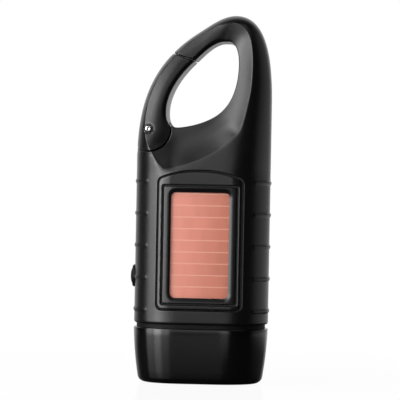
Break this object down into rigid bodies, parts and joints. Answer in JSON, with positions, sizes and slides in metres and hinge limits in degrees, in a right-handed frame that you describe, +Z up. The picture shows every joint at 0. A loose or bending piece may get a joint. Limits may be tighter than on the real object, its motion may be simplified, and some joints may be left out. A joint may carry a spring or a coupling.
{
  "type": "hand crank flashlight",
  "caption": "Upright pocket torch with a solar panel, fold-out crank, side switch, lamp head at the base and a carabiner loop with a spring gate.",
  "frame": {"origin": "centre of the footprint, on the plane of the lamp rim that the torch stands on", "axes": "+Z up along the torch toward the loop's crown, +Y toward the crank, the solar panel faces -Y, the loop's gate is on the -X side"},
  "size_m": [0.0438, 0.03, 0.1152],
  "materials": {
    "body_black": "satin moulded black plastic",
    "head_gloss": "polished black plastic",
    "bezel_black": "smooth black plastic",
    "rubber_black": "soft black rubber",
    "solar_copper": "copper-coloured cell with fine pale lines",
    "clear": "clear plastic",
    "led_clear": "clear epoxy",
    "chrome": "bright plated",
    "steel": "plain steel",
    "brass": "turned brass",
    "gear_white": "natural acetal",
    "copper_wire": "enamelled copper winding",
    "magnet_grey": "sintered magnet",
    "board_green": "green circuit board"
  },
  "bodies": {
    "housing": {"front_shell": "body_black", "back_shell": "body_black", "case_screw_1": "steel", "case_screw_2": "steel", "case_screw_3": "steel", "case_screw_4": "steel", "gate_pin": "chrome", "gate_spring": "steel", "head_shell": "head_gloss", "head_seal": "rubber_black", "lens": "clear", "reflector": "chrome", "led_board": "board_green", "led_1": "led_clear", "led_2": "led_clear", "led_3": "led_clear", "solar_bezel": "bezel_black", "solar_frame": "bezel_black", "solar_window": "clear", "solar_cell": "solar_copper", "switch_body": "bezel_black", "crank_bush": "brass", "gear_axle_1": "steel", "gear_axle_2": "steel", "gear_plate": "steel", "gear_plate_screw_1": "steel", "gear_plate_screw_2": "steel", "gear_plate_screw_3": "steel", "gear_plate_screw_4": "steel", "generator_can": "steel", "generator_coil": "copper_wire", "battery": "steel", "battery_clip": "steel", "main_board": "board_green", "capacitor": "bezel_black"},
    "gate": {"gate": "body_black"},
    "switch": {"switch_button": "rubber_black"},
    "crank": {"crank_arm": "body_black", "crank_shaft": "steel", "crank_screw": "steel", "crank_gear": "gear_white", "knob_pin": "steel"},
    "knob_arm": {"knob_stem": "steel"},
    "knob_grip": {"knob_sleeve": "head_gloss"},
    "first_gear": {"compound_gear_1": "gear_white"},
    "second_gear": {"compound_gear_2": "gear_white"},
    "rotor": {"rotor_magnet": "magnet_grey", "rotor_shaft": "steel"}
  },
  "joints": [
    {"name": "gate_hinge", "type": "hinge", "parent": "housing", "child": "gate", "pos_m": [-0.0169, 0, 0.079], "axis": [0, 1, 0], "range_deg": [0, 30], "stiffness_Nm_per_rad": 0.02, "springref_deg": -17.19},
    {"name": "switch_press", "type": "slide", "parent": "housing", "child": "switch", "axis": [1, 0, 0], "range_m": [0, 0.0008], "stiffness_N_per_m": 400},
    {"name": "crank_spin", "type": "hinge", "parent": "housing", "child": "crank", "pos_m": [0, 0, 0.0465], "axis": [0, 1, 0], "continuous": true},
    {"name": "knob_fold", "type": "hinge", "parent": "crank", "child": "knob_arm", "pos_m": [0, 0.012, 0.0691], "axis": [1, 0, 0], "range_deg": [0, 90]},
    {"name": "knob_spin", "type": "hinge", "parent": "knob_arm", "child": "knob_grip", "pos_m": [0, 0.012, 0.06], "axis": [0, 0, 1], "continuous": true},
    {"name": "first_gear_spin", "type": "hinge", "parent": "housing", "child": "first_gear", "pos_m": [-0.00395, 0, 0.03359], "axis": [0, 1, 0], "continuous": true},
    {"name": "second_gear_spin", "type": "hinge", "parent": "housing", "child": "second_gear", "pos_m": [0.00736, 0, 0.03569], "axis": [0, 1, 0], "continuous": true},
    {"name": "rotor_spin", "type": "hinge", "parent": "housing", "child": "rotor", "pos_m": [0.00155, 0, 0.04383], "axis": [0, 1, 0], "continuous": true}
  ],
  "couplings": [
    {"joint": "first_gear_spin", "follows": "crank_spin", "ratio": -4.4},
    {"joint": "second_gear_spin", "follows": "crank_spin", "ratio": 15.84},
    {"joint": "rotor_spin", "follows": "crank_spin", "ratio": -47.52}
  ]
}
